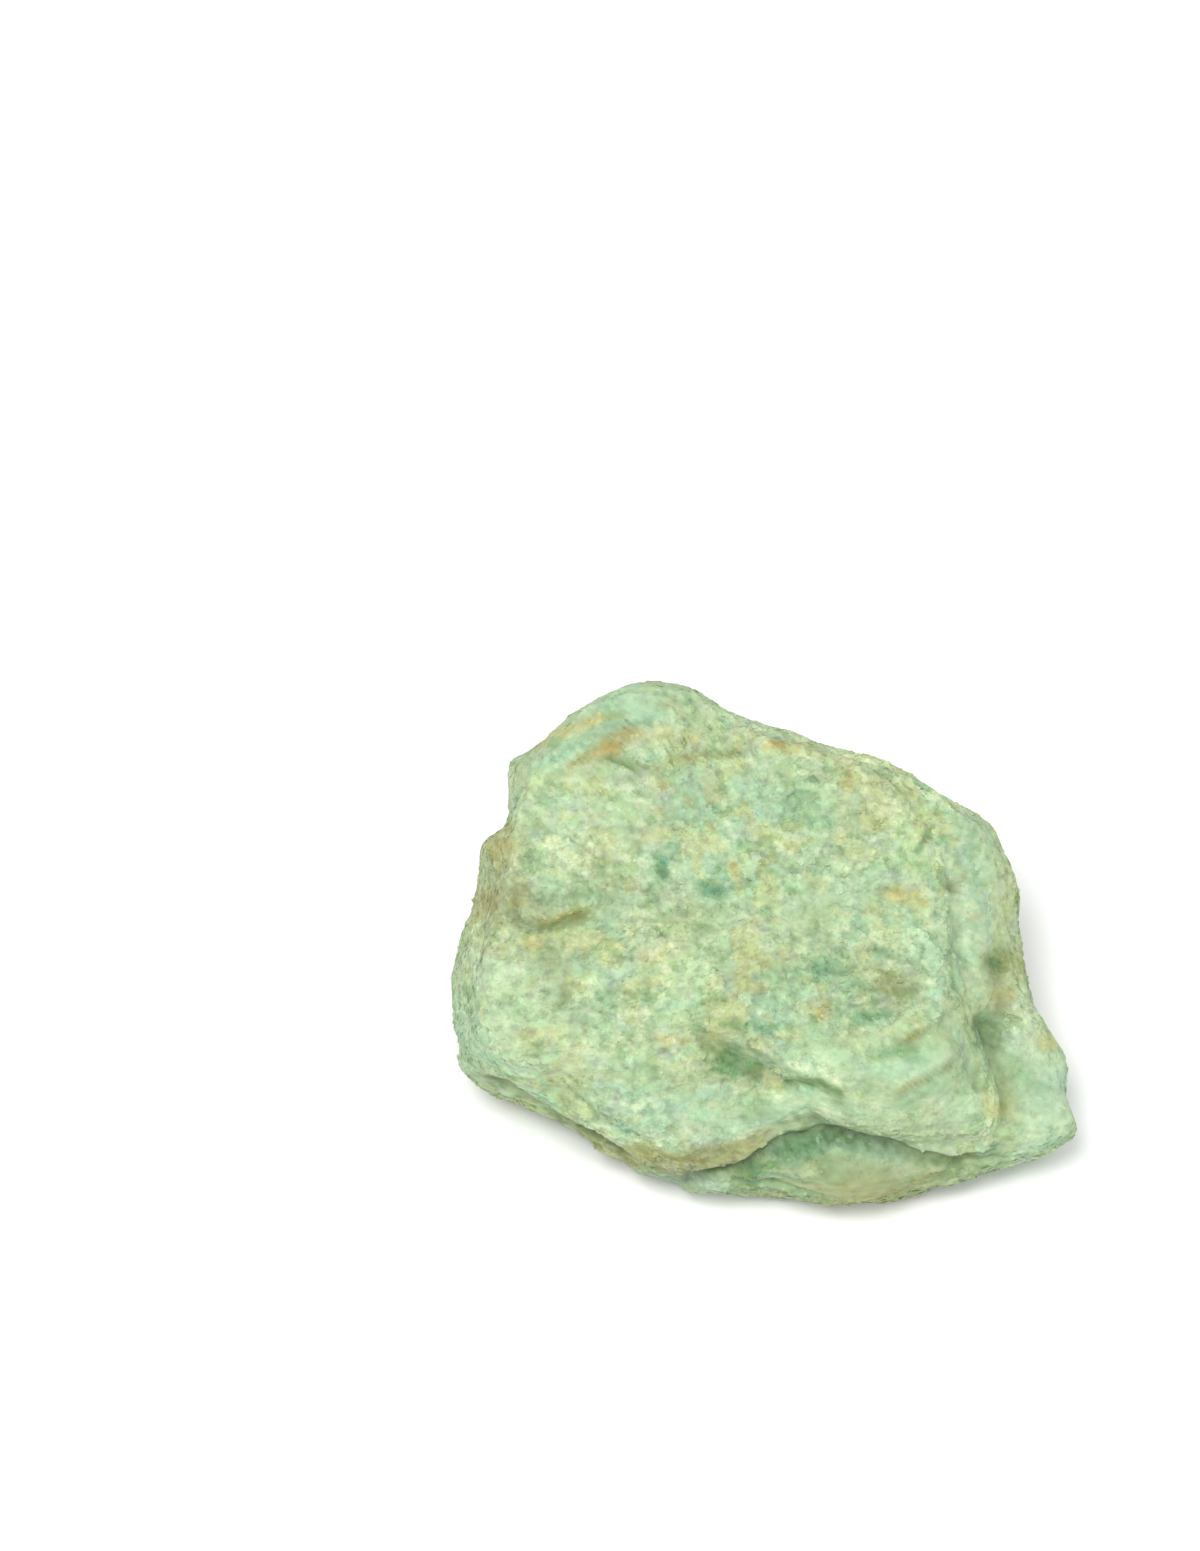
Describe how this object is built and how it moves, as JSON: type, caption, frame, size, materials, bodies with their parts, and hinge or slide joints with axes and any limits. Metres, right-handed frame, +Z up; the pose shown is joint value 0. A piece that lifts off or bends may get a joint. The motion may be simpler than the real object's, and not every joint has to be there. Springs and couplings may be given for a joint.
{
  "type": "raw fuchsite stone",
  "caption": "Rough piece of green fuchsite mica schist, a thick broken slab with slanting layers, a ledge and a crevice at its front, lying flat on its underside.",
  "frame": {"origin": "bottom centre of the stone's box, on the surface that it lies on", "axes": "+X along its longest side, +Z up, and the broken front with the ledge and the crevice faces -Y"},
  "size_m": [0.0596, 0.0526, 0.026],
  "materials": {
    "fuchsite": "rough broken mica schist with a soft glitter"
  },
  "bodies": {
    "root": {"fuchsite_stone": "fuchsite"}
  },
  "joints": []
}
